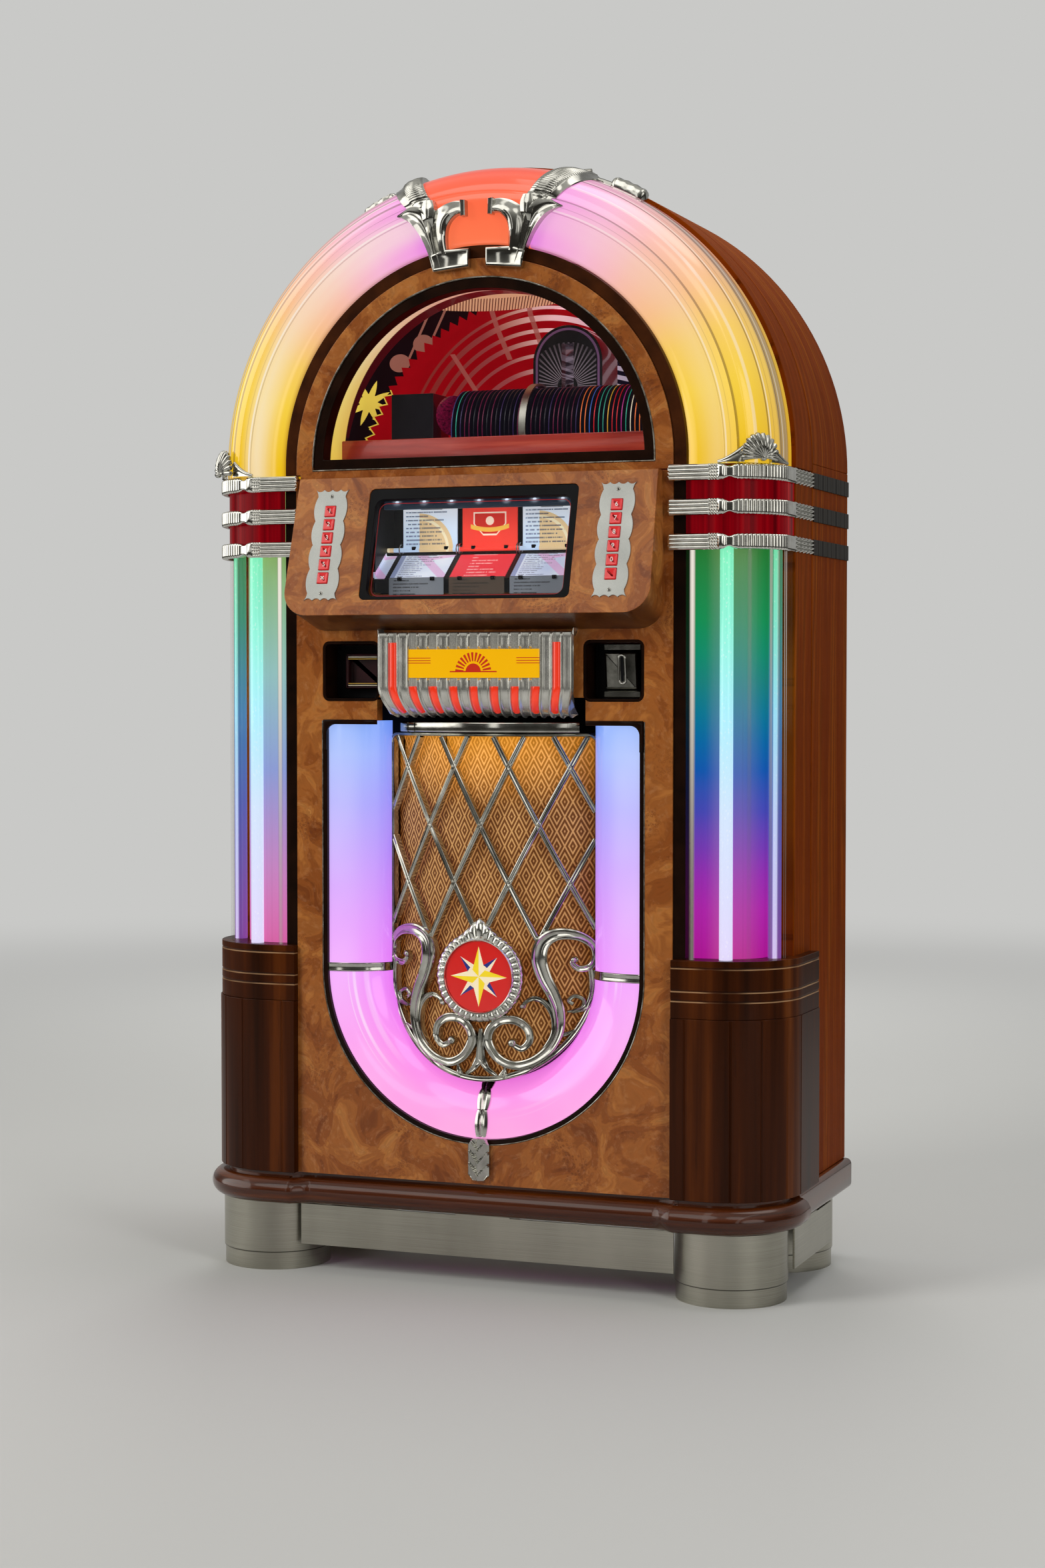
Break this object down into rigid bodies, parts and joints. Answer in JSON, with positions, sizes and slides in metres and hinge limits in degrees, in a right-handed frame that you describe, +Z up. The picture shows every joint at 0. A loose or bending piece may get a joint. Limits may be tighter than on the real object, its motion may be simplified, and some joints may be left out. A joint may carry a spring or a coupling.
{
  "type": "jukebox",
  "caption": "Arched floor-standing disc jukebox with lit plastics, opening lid, sloping selector with keys, grille, coin and note slots and drum feet.",
  "frame": {"origin": "centre of the bounding box's footprint, on the floor", "axes": "+Z up, +X to the right seen from the front, +Y towards the back"},
  "size_m": [0.8714, 0.4624, 1.536],
  "materials": {
    "burl_wood": "lacquered burl veneer, satin gloss",
    "oak_wood": "lacquered oak, satin",
    "dark_wood": "dark lacquered wood, glossy",
    "carcass_wood": "raw board",
    "chrome_metal": "polished",
    "brushed_metal": "brushed",
    "lit_plastic": "translucent, glossy",
    "red_plastic": "translucent red, glossy",
    "tube_glass": "clear, glossy",
    "clear_glass": "clear, glossy",
    "cloth_fabric": "woven",
    "enamel_red": "enamelled, glossy",
    "black_plastic": "satin black",
    "key_plastic": "glossy red with white digits",
    "title_paper": "printed card under clear film",
    "board_black": "black lacquer",
    "disc_plastic": "mirror-like polycarbonate",
    "backdrop_card": "printed card"
  },
  "bodies": {
    "cabinet": {"feet": "brushed_metal", "base_mouldings": "dark_wood", "plinth_plates": "brushed_metal", "carcass_boards": "carcass_wood", "side_panels": "oak_wood", "barrel_top": "oak_wood", "side_bands": "dark_wood", "back_board": "carcass_wood", "cabinet_hinges": "brushed_metal", "pilasters": "dark_wood", "column_covers": "lit_plastic", "column_sleeves": "red_plastic", "bubble_tubes": "tube_glass", "column_bands": "chrome_metal", "front_panel": "burl_wood", "panel_mouldings": "dark_wood", "u_plastics": "lit_plastic", "grille_trim": "chrome_metal", "speaker_cloth": "cloth_fabric", "grille_castings": "chrome_metal", "medallion_disc": "enamel_red", "speakers": "black_plastic", "coin_entry": "chrome_metal", "note_acceptor": "black_plastic", "grill_casting": "chrome_metal", "grill_lenses": "red_plastic", "selector_housing": "burl_wood", "display_bezel": "black_plastic", "display_glass": "clear_glass", "button_plates": "brushed_metal", "title_tray": "title_paper", "mechanism_deck": "dark_wood", "backdrop": "backdrop_card", "disc_rack": "disc_plastic", "player_tower": "board_black", "electronics": "board_black"},
    "lid": {"lid_frame": "oak_wood", "window_board": "burl_wood", "window_mouldings": "dark_wood", "window_glass": "clear_glass", "arch_plastics": "lit_plastic", "crown_plastic": "red_plastic", "lid_castings": "chrome_metal"},
    "back_door": {"back_door": "carcass_wood"},
    "page_leaf": {"page_leaf": "title_paper"},
    "carriage": {"carriage": "brushed_metal"},
    "gripper_arm": {"gripper_arm": "brushed_metal"},
    "turntable": {"turntable": "brushed_metal"},
    "button_1": {"button_1": "key_plastic"},
    "button_2": {"button_2": "key_plastic"},
    "button_3": {"button_3": "key_plastic"},
    "button_4": {"button_4": "key_plastic"},
    "button_5": {"button_5": "key_plastic"},
    "button_cancel": {"button_cancel": "key_plastic"},
    "button_6": {"button_6": "key_plastic"},
    "button_7": {"button_7": "key_plastic"},
    "button_8": {"button_8": "key_plastic"},
    "button_9": {"button_9": "key_plastic"},
    "button_0": {"button_0": "key_plastic"},
    "button_enter": {"button_enter": "key_plastic"}
  },
  "joints": [
    {"name": "lid_hinge", "type": "hinge", "parent": "cabinet", "child": "lid", "pos_m": [0, 0.0277, 1.532], "axis": [-1, 0, 0], "range_deg": [0, 55]},
    {"name": "back_door_hinge", "type": "hinge", "parent": "cabinet", "child": "back_door", "pos_m": [0.29, 0.2272, 0.58], "axis": [0, 0, -1], "range_deg": [0, 105]},
    {"name": "page_turn", "type": "hinge", "parent": "cabinet", "child": "page_leaf", "pos_m": [0, -0.1228, 1.003], "axis": [1, 0, 0], "range_deg": [0, 124]},
    {"name": "carriage_slide", "type": "slide", "parent": "cabinet", "child": "carriage", "axis": [1, 0, 0], "range_m": [-0.1, 0.15]},
    {"name": "gripper_lift", "type": "hinge", "parent": "carriage", "child": "gripper_arm", "pos_m": [0.036, 0.0442, 1.198], "axis": [-1, 0, 0], "range_deg": [0, 50]},
    {"name": "turntable_spin", "type": "hinge", "parent": "cabinet", "child": "turntable", "pos_m": [0.045, 0.1012, 1.233], "axis": [1, 0, 0], "continuous": true},
    {"name": "button_1_press", "type": "slide", "parent": "cabinet", "child": "button_1", "axis": [0, 0.9632, -0.2689], "range_m": [0, 0.002], "stiffness_N_per_m": 300, "springref_m": -0.001},
    {"name": "button_2_press", "type": "slide", "parent": "cabinet", "child": "button_2", "axis": [0, 0.9632, -0.2689], "range_m": [0, 0.002], "stiffness_N_per_m": 300, "springref_m": -0.001},
    {"name": "button_3_press", "type": "slide", "parent": "cabinet", "child": "button_3", "axis": [0, 0.9632, -0.2689], "range_m": [0, 0.002], "stiffness_N_per_m": 300, "springref_m": -0.001},
    {"name": "button_4_press", "type": "slide", "parent": "cabinet", "child": "button_4", "axis": [0, 0.9632, -0.2689], "range_m": [0, 0.002], "stiffness_N_per_m": 300, "springref_m": -0.001},
    {"name": "button_5_press", "type": "slide", "parent": "cabinet", "child": "button_5", "axis": [0, 0.9632, -0.2689], "range_m": [0, 0.002], "stiffness_N_per_m": 300, "springref_m": -0.001},
    {"name": "button_cancel_press", "type": "slide", "parent": "cabinet", "child": "button_cancel", "axis": [0, 0.9632, -0.2689], "range_m": [0, 0.002], "stiffness_N_per_m": 300, "springref_m": -0.001},
    {"name": "button_6_press", "type": "slide", "parent": "cabinet", "child": "button_6", "axis": [0, 0.9632, -0.2689], "range_m": [0, 0.002], "stiffness_N_per_m": 300, "springref_m": -0.001},
    {"name": "button_7_press", "type": "slide", "parent": "cabinet", "child": "button_7", "axis": [0, 0.9632, -0.2689], "range_m": [0, 0.002], "stiffness_N_per_m": 300, "springref_m": -0.001},
    {"name": "button_8_press", "type": "slide", "parent": "cabinet", "child": "button_8", "axis": [0, 0.9632, -0.2689], "range_m": [0, 0.002], "stiffness_N_per_m": 300, "springref_m": -0.001},
    {"name": "button_9_press", "type": "slide", "parent": "cabinet", "child": "button_9", "axis": [0, 0.9632, -0.2689], "range_m": [0, 0.002], "stiffness_N_per_m": 300, "springref_m": -0.001},
    {"name": "button_0_press", "type": "slide", "parent": "cabinet", "child": "button_0", "axis": [0, 0.9632, -0.2689], "range_m": [0, 0.002], "stiffness_N_per_m": 300, "springref_m": -0.001},
    {"name": "button_enter_press", "type": "slide", "parent": "cabinet", "child": "button_enter", "axis": [0, 0.9632, -0.2689], "range_m": [0, 0.002], "stiffness_N_per_m": 300, "springref_m": -0.001}
  ]
}
